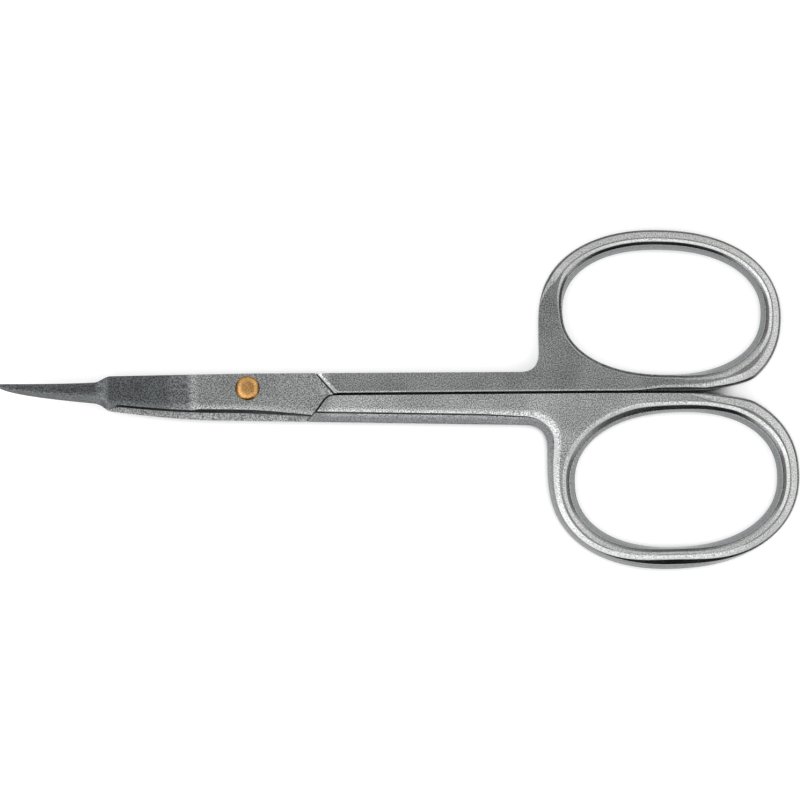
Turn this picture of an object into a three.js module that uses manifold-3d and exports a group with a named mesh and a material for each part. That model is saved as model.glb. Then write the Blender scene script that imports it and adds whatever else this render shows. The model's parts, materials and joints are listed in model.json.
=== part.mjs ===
// Nail scissors: two forged halves and the rivet that they turn on.
// Millimetres. +X runs from the blade tips to the finger rings, +Z is up, and the scissors lie closed on Z = 0.
//
// Both halves are drawn the same way up: seen from outside, with the cutting edge and the finger ring towards -Y,
// the meeting faces at Z = 0 and the pivot on the Z axis. The back half is then turned over about X.

import * as THREE from "three";
import { mergeVertices } from "three/addons/utils/BufferGeometryUtils.js";
import Module from "manifold-3d";

const wasm = await Module();
wasm.setup();
const degrees = THREE.MathUtils.degToRad;

// Thicknesses
const plateThickness = 1.4;
const plateGap = 0.1;
const shankStep = 0.15;
const edgeLand = 0.1;

// Slim blade tips, in plan from the pivot
const tipReach = 27.9;
const tipTop = 0.48;
const tipRootTop = 0.71;
const tipRootBottom = 1.79;
const tipHook = 0.26;
const tipThickness = 0.4;
const tipRootThickness = 0.85;
const tipBevelShare = 0.43;

// Tower shoulder, where the slim tip widens into the blade
const towerReach = 16.3;
const towerRun = 1.8;
const towerThickness = 1.05;
const towerBevel = 0.6;

// Blade and joint plate
const grindReach = 5.8;
const plateTop = 1.67;
const bladeTopTaper = 0.02;
const shankTopTaper = 0.006;
const plateBottom = 3.65;
const plateBottomTaper = 0.0149;
const bellyReach = 4;
const bellyRise = 0.92;
const bellyEase = 1.6;
const edgeBevel = 1.0;
const hiddenTuck = 0.12;

// How far the back blade's back stands out past the front blade's cutting edge. Each half's setBack is its share
// of this: the back half keeps its hidden edge nearly whole, as a wall around the rivet.
const overhang = 0.8;
const overhangReach = 16.3;
const overhangRun = 2.8;
const overhangTaper = 0.035;
const overhangBevel = 0.15;

// Upward sweep of the blades
const sweepReach = 6.5;
const sweepRise = 2.0;

// End of the joint, where each plate meets the other half's shoulder
const shoulderReach = 9.6;
const shoulderGap = 0.15;
const shoulderSlant = 0.4;
const grooveDepth = 0.12;
const grooveWidth = 0.22;

// Seam between the shanks and between the rings
const seamOffset = 0.64;
const seamRise = 0.25;
const seamBend = 40;
const seamGap = 0.3;

// What differs between the halves: side tells the front half from the back one, step is how far the shank lies below
// the joint plate, neckWidth and seamBand are the metal left between the finger hole and the neck and the seam.
// band is the metal around the rest of the hole. The oval of the ring's outside reaches further past the hole on two
// sides, by bandNeck at the neck and bandSeam at the seam, before the neck and the seam cut across it.
const front = {
  side: 1,
  step: shankStep,
  shoulderLean: degrees(41),
  shankBevel: 1.0,
  setBack: 1.0,
  neckReach: 33.75,
  neckFillet: 2.5,
  neckWidth: 3.03,
  seamBand: 2.13,
  holeLength: 22.78,
  holeHeight: 15.17,
  holeTilt: degrees(3),
  band: 2.45,
  bandNeck: 2.88,
  bandSeam: 2.97,
  bandTilt: degrees(2.8),
};
const back = {
  side: -1,
  step: 0,
  shoulderLean: degrees(45),
  shankBevel: 0.45,
  setBack: 0.2,
  neckReach: 32.7,
  neckFillet: 2.1,
  neckWidth: 2.69,
  seamBand: 1.8,
  holeLength: 22.3,
  holeHeight: 14.02,
  holeTilt: degrees(2),
  band: 2.22,
  bandNeck: 2.7,
  bandSeam: 3.5,
  bandTilt: degrees(1.75),
};
const neckLeaveAngle = degrees(198);
const neckPullShare = 1 / 3;
const ovalSquareness = 2.22;
const bandRounding = 0.85;
const bandRoundingHeight = 1.1;

// Rivet
const rivetShaft = 1.9;
const rivetHead = 2.75;
const rivetRim = 0.16;
const rivetDome = 0.2;
const rivetTail = 2.5;
const rivetTailRecess = 0.05;
const rivetClearance = 0.05;

// Finish
const steelColour = 0x9b9a97;
const brassColour = 0xb98546;

// How finely the curves are cut into facets
const ovalSteps = 40;
const holeSteps = 40;
const lineSteps = 10;
const curveSteps = 6;
const rivetSteps = 32;
const domeSteps = 4;
const tipStations = 9;
const towerStations = 5;
const bladeStations = 6;
const overhangStations = 16;
const roundingDepths = [0, 0.12, 0.4, 1];
const bodyOverlap = 0.5;
const weldDistance = 1e-4;
const halvings = 40;

// Levels that follow from the thicknesses
const meetingFace = plateGap / 2;
const plateFace = meetingFace + plateThickness;
const bodyStart = -bellyReach;
const cutterReach = 4 * (tipReach + front.neckReach);
front.innerFace = back.step - plateFace;
back.innerFace = front.step - plateFace;

const clamp01 = (value) => THREE.MathUtils.clamp(value, 0, 1);
const ease = (value) => THREE.MathUtils.smoothstep(value, 0, 1);
const mix = THREE.MathUtils.lerp;
const at = (x, y) => new THREE.Vector2(x, y);

// Plan outline of the closed blades and joint plates, seen from the front

const alongTip = (x) => clamp01((x + tipReach) / (tipReach - towerReach));
const alongTower = (x) => clamp01((x + towerReach) / towerRun + 0.5);
const alongBlade = (x) => clamp01((-grindReach - x) / (towerReach - grindReach));

function upperEdge(x) {
  const tip = tipTop + (tipRootTop - tipTop) * alongTip(x) ** 3;
  const plate = plateTop + (x < 0 ? bladeTopTaper : shankTopTaper) * x;
  return mix(tip, plate, ease(alongTower(x)));
}

function lowerEdge(x) {
  const tip = tipHook - (tipHook + tipRootBottom) * Math.sqrt(alongTip(x));
  const belly = Math.max(0, (-bellyReach - x) / (towerReach - bellyReach));
  const plate = -plateBottom - plateBottomTaper * x + bellyRise * belly ** bellyEase;
  return mix(tip, plate, ease(alongTower(x)));
}

// The back half's tip is tucked in a little, so that it hides behind the front one
const tuck = (half, x) => (half === back ? hiddenTuck * (1 - ease(alongTower(x))) * alongTip(x) : 0);

function spineEdge(half, x) {
  return (half === front ? upperEdge(x) : -lowerEdge(x)) - tuck(half, x);
}

function cuttingEdge(half, x) {
  return (half === front ? lowerEdge(x) : -upperEdge(x)) + tuck(half, x);
}

function bladeThickness(x) {
  const tip = mix(tipThickness, tipRootThickness, alongTip(x));
  const blade = mix(plateThickness, towerThickness, alongBlade(x));
  return mix(tip, blade, ease(alongTower(x)));
}

function bevelWidth(half, x) {
  const tip = tipBevelShare * (upperEdge(x) - lowerEdge(x));
  const blade = mix(edgeBevel, towerBevel, alongBlade(x) ** 2);
  const plate = mix(blade, half.shankBevel, ease(x / shoulderReach));
  return mix(tip, plate, ease(alongTower(x)));
}

// Rise of the meeting faces along the blades. It depends on the distance from the pivot alone, so the two blades
// keep their gap however far the scissors open.
function sweep(half, x, y) {
  const run = Math.max(0, Math.hypot(x, y) - sweepReach) / (tipReach - sweepReach);
  return half.side * sweepRise * run ** 2;
}

// Centre line of the seam between the two handles, as this half sees it
function seam(half, x) {
  const run = clamp01((x - shoulderReach) / (seamBend - shoulderReach));
  return half.side * (seamRise * run - seamOffset);
}

const seamEdge = (half, x) => seam(half, x) - seamGap / 2;

// Solids and booleans

function geometryFrom(positions, triangles) {
  const geometry = new THREE.BufferGeometry();
  geometry.setAttribute("position", new THREE.Float32BufferAttribute(positions, 3));
  geometry.setIndex(Array.from(triangles));
  return geometry;
}

function solidFrom(geometry) {
  const bare = geometry.clone();
  bare.deleteAttribute("normal");
  bare.deleteAttribute("uv");
  const merged = mergeVertices(bare, weldDistance);
  return new wasm.Manifold(new wasm.Mesh({
    numProp: 3,
    vertProperties: new Float32Array(merged.attributes.position.array),
    triVerts: new Uint32Array(merged.index.array),
  }));
}

function meshFrom(name, solid, material) {
  const cut = solid.getMesh();
  const geometry = geometryFrom(cut.vertProperties, cut.triVerts);
  geometry.computeVertexNormals();
  const mesh = new THREE.Mesh(geometry, material);
  mesh.name = name;
  return mesh;
}

// Triangles of the wall between loops of equal length, stacked one after another from index first
function wallTriangles(loopCount, count, first, stride) {
  const triangles = [];
  for (let level = 0; level + 1 < loopCount; level += 1) {
    for (let i = 0; i < count; i += 1) {
      const a = first + level * stride + i;
      const b = first + level * stride + ((i + 1) % count);
      triangles.push(a, b, b + stride, a, b + stride, a + stride);
    }
  }
  return triangles;
}

// A blade from its tip to the joint plate, as sections across it
function bladeSolid(half) {
  const towerStart = -towerReach - towerRun / 2;
  const towerEnd = -towerReach + towerRun / 2;
  const stations = [];
  for (let i = 0; i < tipStations; i += 1) {
    stations.push(mix(-tipReach, towerStart, (i / tipStations) ** 2));
  }
  for (let i = 0; i < towerStations; i += 1) {
    stations.push(mix(towerStart, towerEnd, i / towerStations));
  }
  for (let i = 0; i <= bladeStations; i += 1) {
    stations.push(mix(towerEnd, bodyStart, i / bladeStations));
  }
  stations.push(bodyStart + bodyOverlap);

  const corners = stations.flatMap((x) => {
    const spine = spineEdge(half, x);
    const edge = cuttingEdge(half, x);
    const ridge = edge + bevelWidth(half, x);
    const section = [
      [spine, 0],
      [spine, bladeThickness(x)],
      [ridge, bladeThickness(x)],
      [edge, edgeLand],
      [edge, 0],
    ];
    return section.map(([y, height]) => [x, y, meetingFace + height + sweep(half, x, y)]);
  });
  const count = corners.length / stations.length;
  const triangles = wallTriangles(stations.length, count, 0, count);
  const last = corners.length - count;
  for (let i = 1; i + 1 < count; i += 1) {
    triangles.push(0, i + 1, i);
    triangles.push(last, last + i, last + i + 1);
  }
  return solidFrom(geometryFrom(corners.flat(), triangles));
}

// A squarish oval: the finger hole, or the outside of the band around it
class Oval extends THREE.Curve {
  constructor(middle, halfLength, halfHeight, tilt, startAngle, endAngle) {
    super();
    Object.assign(this, { middle, halfLength, halfHeight, tilt, startAngle, endAngle });
  }

  atAngle(angle) {
    const power = 2 / ovalSquareness;
    const across = Math.cos(angle);
    const up = Math.sin(angle);
    const point = at(
      this.halfLength * Math.sign(across) * Math.abs(across) ** power,
      this.halfHeight * Math.sign(up) * Math.abs(up) ** power,
    );
    return point.rotateAround(at(0, 0), this.tilt).add(this.middle);
  }

  getPoint(t) {
    return this.atAngle(mix(this.startAngle, this.endAngle, t));
  }
}

function holeMiddle(half) {
  const reach = half.neckReach + half.neckWidth + half.holeLength / 2;
  return at(reach, seamEdge(half, reach) - half.seamBand - half.holeHeight / 2);
}

function holeOval(half) {
  return new Oval(holeMiddle(half), half.holeLength / 2, half.holeHeight / 2, half.holeTilt, 0, -Math.PI * 2);
}

// The ring's outside, fuller towards the neck and the seam
function ringOval(half, startAngle, endAngle) {
  const { band, bandNeck, bandSeam } = half;
  const middle = holeMiddle(half).add(at((band - bandNeck) / 2, (bandSeam - band) / 2));
  const halfLength = (half.holeLength + band + bandNeck) / 2;
  const halfHeight = (half.holeHeight + band + bandSeam) / 2;
  return new Oval(middle, halfLength, halfHeight, half.bandTilt, startAngle, endAngle);
}

// Angle at which the ring's outside comes up to the seam, found by halving
function seamAngle(half) {
  const oval = ringOval(half, 0, 0);
  let below = 0;
  let above = Math.PI / 2;
  for (let i = 0; i < halvings; i += 1) {
    const middle = (below + above) / 2;
    const point = oval.atAngle(middle);
    if (point.y < seamEdge(half, point.x)) {
      below = middle;
    } else {
      above = middle;
    }
  }
  return below;
}

// Plan of one half behind the blade, anticlockwise, as runs of curve with the finish of the edge that each one makes
function bodyRuns(half) {
  const edge = (x) => at(x, cuttingEdge(half, x));
  const { neckReach, neckFillet, shoulderLean } = half;

  const filletStart = edge(neckReach - neckFillet);
  const neckCorner = edge(neckReach);
  const neckTop = at(neckReach, neckCorner.y - neckFillet);
  const ringEnd = Math.PI * 2 + seamAngle(half);
  const ring = ringOval(half, neckLeaveAngle, ringEnd);
  const neckEnd = ring.getPoint(0);
  const neckPull = neckPullShare * (neckTop.y - neckEnd.y);
  const neckExit = ring.getTangent(0).multiplyScalar(-neckPull).add(neckEnd);

  const ringMeet = ring.getPoint(1);
  const seamMeet = at(ringMeet.x, seamEdge(half, ringMeet.x));
  const seamTurn = at(seamBend, seamEdge(half, seamBend));
  const lean = Math.tan(shoulderLean);
  const plateCorner = at(shoulderReach + lean * seamGap / 2, seamEdge(half, shoulderReach));
  const rise = spineEdge(half, shoulderReach) - seam(half, shoulderReach);
  const plateEnd = at(shoulderReach - lean * rise, spineEdge(half, shoulderReach));
  const spineMiddle = at(0, spineEdge(half, 0));
  const spineStart = at(bodyStart, spineEdge(half, bodyStart));

  return [
    { curve: new THREE.LineCurve(edge(bodyStart), edge(0)), steps: 1, finish: "bevel" },
    { curve: new THREE.LineCurve(edge(0), filletStart), steps: lineSteps, finish: "bevel" },
    { curve: new THREE.QuadraticBezierCurve(filletStart, neckCorner, neckTop), steps: curveSteps, finish: "bevel" },
    {
      curve: new THREE.CubicBezierCurve(neckTop, at(neckReach, neckTop.y - neckPull), neckExit, neckEnd),
      steps: curveSteps,
      finish: "bevel",
    },
    { curve: ring, steps: ovalSteps, finish: "round" },
    { curve: new THREE.LineCurve(seamMeet, seamTurn), steps: curveSteps, finish: "square" },
    { curve: new THREE.LineCurve(seamTurn, plateCorner), steps: 1, finish: "square" },
    { curve: new THREE.LineCurve(plateCorner, plateEnd), steps: 1, finish: "square" },
    { curve: new THREE.LineCurve(plateEnd, spineMiddle), steps: 1, finish: "square" },
    { curve: new THREE.LineCurve(spineMiddle, spineStart), steps: 1, finish: "square" },
  ];
}

// How far the edge lies inside the plan outline at a height, for each finish
function edgeInset(half, finish, x, height) {
  const outerFace = plateFace - half.step;
  if (finish === "bevel") {
    const climb = (height - meetingFace - edgeLand) / (plateThickness - edgeLand);
    return bevelWidth(half, Math.min(x, shoulderReach)) * clamp01(climb);
  }
  if (finish === "round") {
    const depth = Math.min(outerFace - height, height - half.innerFace) / bandRoundingHeight;
    return bandRounding * (1 - Math.sqrt(1 - (1 - clamp01(depth)) ** 2));
  }
  return 0;
}

// Points of a plan outline with their inward direction. The two ends of the chain lie on one straight cut.
function outlinePoints(runs) {
  const points = runs.flatMap(({ curve, steps, finish }) => curve.getPoints(steps).slice(0, -1)
    .map((point) => ({ point, finish })));
  const lastRun = runs[runs.length - 1];
  points.push({ point: lastRun.curve.getPoint(1), finish: lastRun.finish });
  return points.map(({ point, finish }, i) => {
    const before = points[Math.max(0, i - 1)].point;
    const after = points[Math.min(points.length - 1, i + 1)].point;
    const along = after.clone().sub(before).normalize();
    return { point, finish, inward: at(-along.y, along.x) };
  });
}

// A half behind the blade: its plan outline stacked through the thickness, with the finger hole open
function bodySolid(half) {
  const outline = outlinePoints(bodyRuns(half));
  const hole = holeOval(half).getPoints(holeSteps).slice(0, -1);
  const middle = holeMiddle(half);
  const outerFace = plateFace - half.step;
  const inner = roundingDepths.map((depth) => half.innerFace + depth * bandRoundingHeight);
  const outer = roundingDepths.map((depth) => outerFace - depth * bandRoundingHeight).reverse();
  const heights = [...inner, ...outer, plateFace].filter((height, i, all) => i === 0 || height > all[i - 1]);

  const loops = heights.map((height) => {
    const insets = outline.map(({ point, finish }) => edgeInset(half, finish, point.x, height));
    const blended = insets.map((inset, i) => {
      const near = insets.slice(Math.max(0, i - 1), i + 2);
      const nextToEnd = i < 2 || i > insets.length - 3;
      return nextToEnd ? inset : near.reduce((sum, value) => sum + value) / near.length;
    });
    const rim = outline.map(({ point, inward }, i) => point.clone().addScaledVector(inward, blended[i]));
    const growth = edgeInset(half, "round", 0, height);
    const opening = hole.map((point) => {
      const outward = point.clone().sub(middle).normalize();
      return point.clone().addScaledVector(outward, growth);
    });
    return { rim, opening, height };
  });

  const positions = loops.flatMap(({ rim, opening, height }) => [...rim, ...opening]
    .flatMap((point) => [point.x, point.y, height]));
  const stride = outline.length + hole.length;
  const triangles = [
    ...wallTriangles(loops.length, outline.length, 0, stride),
    ...wallTriangles(loops.length, hole.length, outline.length, stride),
  ];
  const bottom = loops[0];
  const top = loops[loops.length - 1];
  const topStart = (loops.length - 1) * stride;
  for (const [a, b, c] of THREE.ShapeUtils.triangulateShape(bottom.rim, [bottom.opening])) {
    triangles.push(a, c, b);
  }
  for (const [a, b, c] of THREE.ShapeUtils.triangulateShape(top.rim, [top.opening])) {
    triangles.push(topStart + a, topStart + b, topStart + c);
  }
  return solidFrom(geometryFrom(positions, triangles));
}

// A long cutter whose profile is drawn across the line on which this half's shank meets the other half's plate.
// In the profile, +X points into the shank and Y is the height.
function shoulderCutter(half, other, profile) {
  const shape = new THREE.Shape(profile.map(([across, height]) => at(across, height)));
  const geometry = new THREE.ExtrudeGeometry(shape, { depth: cutterReach, bevelEnabled: false });
  geometry.translate(0, 0, -cutterReach / 2);
  geometry.rotateX(Math.PI / 2);
  geometry.rotateZ(-other.shoulderLean);
  geometry.translate(shoulderReach, seam(half, shoulderReach), 0);
  return solidFrom(geometry);
}

// Room on the inner side of a half for the other half's joint plate
function lapCutter(half, other) {
  return shoulderCutter(half, other, [
    [-cutterReach, -cutterReach],
    [shoulderGap + shoulderSlant, -cutterReach],
    [shoulderGap + shoulderSlant, half.innerFace],
    [shoulderGap, meetingFace],
    [-cutterReach, meetingFace],
  ]);
}

// The step down from the joint plate to the shank, with a fine groove at its foot
function stepCutter(half, other) {
  const outerFace = plateFace - half.step;
  return shoulderCutter(half, other, [
    [0, outerFace - grooveDepth],
    [grooveWidth / 2, outerFace - grooveDepth],
    [grooveWidth, outerFace],
    [cutterReach, outerFace],
    [cutterReach, cutterReach],
    [0, cutterReach],
  ]);
}

// What comes off along a cutting edge between the tower and the shoulder, so that the other blade's back stands out.
// The cut leans over the plate as it rises, which leaves the edge bevelled.
function overhangCutter(half, other) {
  const outline = [];
  for (let i = 0; i <= overhangStations; i += 1) {
    const x = mix(-overhangReach, shoulderReach, i / overhangStations);
    const width = half.setBack * (overhang - overhangTaper * Math.max(0, x));
    outline.push(at(x, cuttingEdge(half, x) + width * ease((x + overhangReach) / overhangRun)));
  }
  outline.push(at(shoulderReach, -cutterReach), at(-overhangReach, -cutterReach));
  const geometry = new THREE.ExtrudeGeometry(new THREE.Shape(outline), { depth: cutterReach, bevelEnabled: false });
  geometry.translate(0, 0, -cutterReach / 2);
  geometry.applyMatrix4(new THREE.Matrix4().makeShear(0, 0, 0, 0, 0, overhangBevel / plateThickness));
  geometry.translate(0, 0, meetingFace);
  const pastShoulder = shoulderCutter(half, other, [
    [0, -cutterReach],
    [cutterReach, -cutterReach],
    [cutterReach, cutterReach],
    [0, cutterReach],
  ]);
  return solidFrom(geometry).subtract(pastShoulder);
}

// A turned solid from a half profile of [radius, height]
function turned(profile) {
  return solidFrom(new THREE.LatheGeometry(profile.map(([r, z]) => at(r, z)), rivetSteps).rotateX(Math.PI / 2));
}

// Rivet profile from the tail to the underside of the head, grown by a clearance where it is a bore
function shaftProfile(clearance, tailEnd, headEnd) {
  const tail = rivetTail / 2 + clearance;
  const shaft = rivetShaft / 2 + clearance;
  const coneEnd = -plateFace + rivetTailRecess + (rivetTail - rivetShaft) / 2;
  return [
    [0, tailEnd],
    [tail, tailEnd],
    [tail, coneEnd - (tail - shaft)],
    [shaft, coneEnd],
    [shaft, headEnd],
  ];
}

function rivetSolid() {
  const seat = plateFace + rivetClearance;
  const profile = shaftProfile(0, -plateFace + rivetTailRecess, seat);
  profile.push([rivetHead / 2, seat]);
  for (let i = 0; i <= domeSteps; i += 1) {
    const turn = (i / domeSteps) * (Math.PI / 2);
    profile.push([(rivetHead / 2) * Math.cos(turn), seat + rivetRim + rivetDome * Math.sin(turn)]);
  }
  return turned(profile);
}

function boreCutter(half) {
  const profile = shaftProfile(rivetClearance, -cutterReach, cutterReach);
  profile.push([0, cutterReach]);
  const cutter = turned(profile);
  return half === front ? cutter : cutter.rotate([180, 0, 0]);
}

function halfSolid(half, other) {
  let solid = bodySolid(half).subtract(lapCutter(half, other));
  if (half.step > 0) {
    solid = solid.subtract(stepCutter(half, other));
  }
  return solid.add(bladeSolid(half)).subtract(overhangCutter(half, other)).subtract(boreCutter(half));
}

// The assembly, closed, with the middle of its footprint on the origin

const steel = new THREE.MeshStandardMaterial({ color: steelColour, roughness: 0.35, metalness: 1 });
const brass = new THREE.MeshStandardMaterial({ color: brassColour, roughness: 0.3, metalness: 1 });

const frontHalf = meshFrom("front_half", halfSolid(front, back), steel);
const backHalf = meshFrom("back_half", halfSolid(back, front), steel);
backHalf.rotation.x = Math.PI;
const pivotRivet = meshFrom("pivot_rivet", rivetSolid(), brass);

const scissors = new THREE.Group();
scissors.add(backHalf, frontHalf, pivotRivet);
const box = new THREE.Box3().setFromObject(scissors);
const middle = box.getCenter(new THREE.Vector3());
scissors.position.set(-middle.x, -middle.y, -box.min.z);

export default scissors;
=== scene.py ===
"""Nail scissors: the finished look of the two forged halves and their rivet, on a plain pale floor.

Shapes are worked out in millimetres from the pivot and put into the frame in metres. Both halves are drawn
the same way up, seen from outside, with the cutting edge and the finger ring towards -Y. The back half is
then turned over about X.
"""

import json
import math
from collections import namedtuple
from types import SimpleNamespace

import bmesh
import bpy
from mathutils import Matrix, Vector
from mathutils.geometry import tessellate_polygon


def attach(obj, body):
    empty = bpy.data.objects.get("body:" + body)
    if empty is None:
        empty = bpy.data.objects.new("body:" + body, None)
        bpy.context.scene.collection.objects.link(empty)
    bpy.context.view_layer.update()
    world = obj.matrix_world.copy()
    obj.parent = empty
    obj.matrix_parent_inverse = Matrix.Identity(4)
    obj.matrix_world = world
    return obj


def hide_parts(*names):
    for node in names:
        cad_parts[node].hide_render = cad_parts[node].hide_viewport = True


bl_info = {
    "name": "Nail Scissors",
    "version": (1, 0, 0),
    "blender": (4, 5, 0),
    "location": "3D View > Sidebar > Scissors",
    "description": "Two forged scissor halves with finger rings, turning on a brass rivet",
    "category": "Object",
}

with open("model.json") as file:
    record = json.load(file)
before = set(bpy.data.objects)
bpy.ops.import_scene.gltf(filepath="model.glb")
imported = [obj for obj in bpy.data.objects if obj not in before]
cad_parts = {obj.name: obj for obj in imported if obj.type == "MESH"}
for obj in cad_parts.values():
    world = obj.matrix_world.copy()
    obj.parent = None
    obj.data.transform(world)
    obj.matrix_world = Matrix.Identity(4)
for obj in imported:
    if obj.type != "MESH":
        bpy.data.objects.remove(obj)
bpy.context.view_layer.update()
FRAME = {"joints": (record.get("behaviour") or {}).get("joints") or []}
MM = 0.001
PIVOT = Vector(FRAME["joints"][0]["pos_m"])

# Thicknesses
PLATE_THICKNESS = 1.4
PLATE_GAP = 0.1
EDGE_LAND = 0.1
SHANK_STEP = 0.15
MEETING_FACE = PLATE_GAP / 2
PLATE_FACE = MEETING_FACE + PLATE_THICKNESS

# Slim blade tips, in plan from the pivot
TIP_REACH = 27.9
TIP_TOP = 0.48
TIP_ROOT_TOP = 0.71
TIP_ROOT_BOTTOM = 1.79
TIP_HOOK = 0.26
TIP_THICKNESS = 0.4
TIP_ROOT_THICKNESS = 0.85
TIP_BEVEL_SHARE = 0.35

# Tower shoulder, where the slim tip widens into the blade
TOWER_REACH = 16.3
TOWER_RUN = 1.8
TOWER_THICKNESS = 1.05
TOWER_BEVEL = 0.6

# Blade and joint plate
GRIND_REACH = 5.8
PLATE_TOP = 1.67
BLADE_TOP_TAPER = 0.02
SHANK_TOP_TAPER = 0.006
PLATE_BOTTOM = 3.65
PLATE_BOTTOM_TAPER = 0.0149
BELLY_REACH = 4.0
BELLY_RISE = 0.92
BELLY_EASE = 1.6
EDGE_BEVEL = 1.0
HIDDEN_TUCK = 0.12

# How far the back blade's back stands out past the front blade's cutting edge. Each half's set_back is its
# share of this: the back half keeps its hidden edge nearly whole, as a wall around the rivet.
OVERHANG = 0.8
OVERHANG_REACH = 17.2
OVERHANG_RUN = 3.0
OVERHANG_TAPER = 0.035
OVERHANG_LEAN = 0.019
OVERHANG_LEAN_REACH = 3.0
OVERHANG_BEVEL = 0.05
CHAMFER_REACH = 15.0
CHAMFER_RUN = 0.7

# Upward sweep of the blades
SWEEP_REACH = 6.5
SWEEP_RISE = 2.0

# End of the joint and the seam between the handles
SHOULDER_REACH = 9.6
SHOULDER_GAP = 0.15
SEAM_OFFSET = 0.64
SEAM_RISE = 0.25
SEAM_BEND = 40.0
SEAM_GAP = 0.3
SEAM_SHOWN = 0.24

# Line of the step from the front plate down to its shank, from the end of the joint to the cutting edge
STEP_PULL_SEAM = (8.2, -0.62)
STEP_PULL_EDGE = (8.0, -2.9)
STEP_END = (6.1, -3.84)
STEP_PAST = 1.0
STEP_FOOT = 0.3

# Necks and finger rings. Turns are angles about the middle of a hole, in degrees.
NECK_LEAVE_ANGLE = math.radians(198)
NECK_PULL_SHARE = 1 / 3
OVAL_SQUARENESS = 2.22
WEB_START = math.radians(70)
NOTCH_REACH = 51.5
NOTCH_PULL = 0.55
RING_SEAM_START = 43.5
RING_SEAM_RUN = 5.0
RING_TURN_START = 235
RING_TURN_RUN = 110
NEAR_TURN = 268
NEAR_TURN_RUN = 55

# What differs between the halves. step is how far the shank lies below the joint plate. neck_width and
# seam_band are the metal between the finger hole and the neck and the seam, and band is the metal around the
# rest of it. The oval of the ring's outside reaches further past the hole at the neck and the seam.
FRONT = SimpleNamespace(
    side=1, step=SHANK_STEP, shoulder_lean=math.radians(41), shank_bevel=1.0, set_back=1.0,
    neck_reach=33.75, neck_fillet=2.5, neck_width=3.03, seam_band=2.13, inner_face=-PLATE_FACE,
    hole_length=22.78, hole_height=15.17, hole_tilt=math.radians(3), web_end=math.radians(160),
    band=2.438, band_neck=2.88, band_seam=2.97, band_tilt=math.radians(2.8), notch_drop=1.0,
)
BACK = SimpleNamespace(
    side=-1, step=0.04, shoulder_lean=math.radians(45), shank_bevel=0.45, set_back=0.2,
    neck_reach=32.7, neck_fillet=2.1, neck_width=2.69, seam_band=1.8, inner_face=SHANK_STEP - PLATE_FACE,
    hole_length=22.3, hole_height=14.02, hole_tilt=math.radians(2), web_end=math.radians(190),
    band=2.219, band_neck=2.7, band_seam=3.5, band_tilt=math.radians(1.75), notch_drop=1.6,
)

# Limits of the worked edges, as shares of the metal, the facet or the plain rounding beside them
MIDDLE_SHARE = 0.495
CORNER_REACH = 0.45
CROWN_AHEAD = 0.9
RIDGE_SOFT_MOST = 0.3
PLATE_SOFT_MOST = 0.25
PLATE_CROWN_MOST = 0.35
PLATE_FACET_LEAST = 0.1
SPINE_WIDTH_MOST = 0.2
SPINE_THICKNESS_MOST = 0.3
SHARP_STRIP = 0.2
SHARP_FACET = 0.4
THIN_FACET = 0.3
LAP_RISE = 0.4

# Forms of the worked edges
EDGE_LIP = 0.01
FLAT_ROLL = 2.0
BEVEL_SLOPE = 0.95
MITRE_LEAST = 0.6
SPINE_TURNS = (0.0, 0.5, 1.05, math.pi / 2)

# Rivet
RIVET_SHAFT = 1.9
RIVET_HEAD = 2.75
RIVET_RIM = 0.06
RIVET_DOME = 0.3
RIVET_ROLL = 5
RIVET_TAIL = 2.5
RIVET_TAIL_RECESS = 0.05
RIVET_CLEARANCE = 0.05

# How finely the curves are drawn
TIP_STATIONS = 28
TOWER_STATIONS = 16
BLADE_STATIONS = 24
PLATE_STATIONS = 8
OVERHANG_STATIONS = 30
OVAL_STEPS = 150
HOLE_STEPS = 180
FILLET_STEPS = 20
NECK_STEPS = 26
SEAM_STEPS = 40
LINE_STEPS = 40
STEP_STEPS = 48
CORNER_POINTS = 5
CROWN_POINTS = 5
RIVET_STEPS = 96
DOME_STEPS = 18
HALVINGS = 40

# Making the meshes
FAR = 200.0
TINY_TURN = 1e-4
CUT_DISTANCE = 1e-9
WELD_DISTANCE = 0.0005
FACE_STRONG = 16384
FLAT_LIMIT = 0.99999

# Grain of the metals, and where their finish and the painted light and shade in their colour change: along
# the blade in millimetres past the start of the grinding, along the ring's direction from the pivot, and by
# how far a face looks up
RISE = (0.0, 1.0)
FALL = (1.0, 0.0)
GRAIN_RELIEF = 0.02
GRAIN_DETAIL = 1.0
GRAIN_LIMITS = (0.33, 0.67)
GRAIN_MIDDLE = 0.5
CLOUD_SCALE = 260.0
CLOUD_DETAIL = 2.0
CLOUD_LIMITS = (0.3, 0.7)
CLOUD_ROUGHNESS = (-0.03, 0.03)
GRIND_FIRST = 0.75
GRIND_FIRST_RUN = (0.3, 1.1)
GRIND_DEEP_RUN = (2.4, 3.6)
JOINT_FADE = 1.0
RING_DIRECTION = (0.55, -0.83, 0.0)
RING_START = 25.9
RING_FULL = 30.9
RING_CALM = 0.6
CREST_CALM = 0.75
CREST_LOW = (0.75, 0.86)
CREST_HIGH = (0.95, 0.995)
OUTSIDE_LIMITS = (-0.3, 0.0)
SIDE_SHADE_LIMITS = (0.45, 0.7)
BRASS_LIMITS = (0.3, 0.7)
BRASS_DARK = 0.7
BRASS_LIGHT = 1.25

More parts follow.
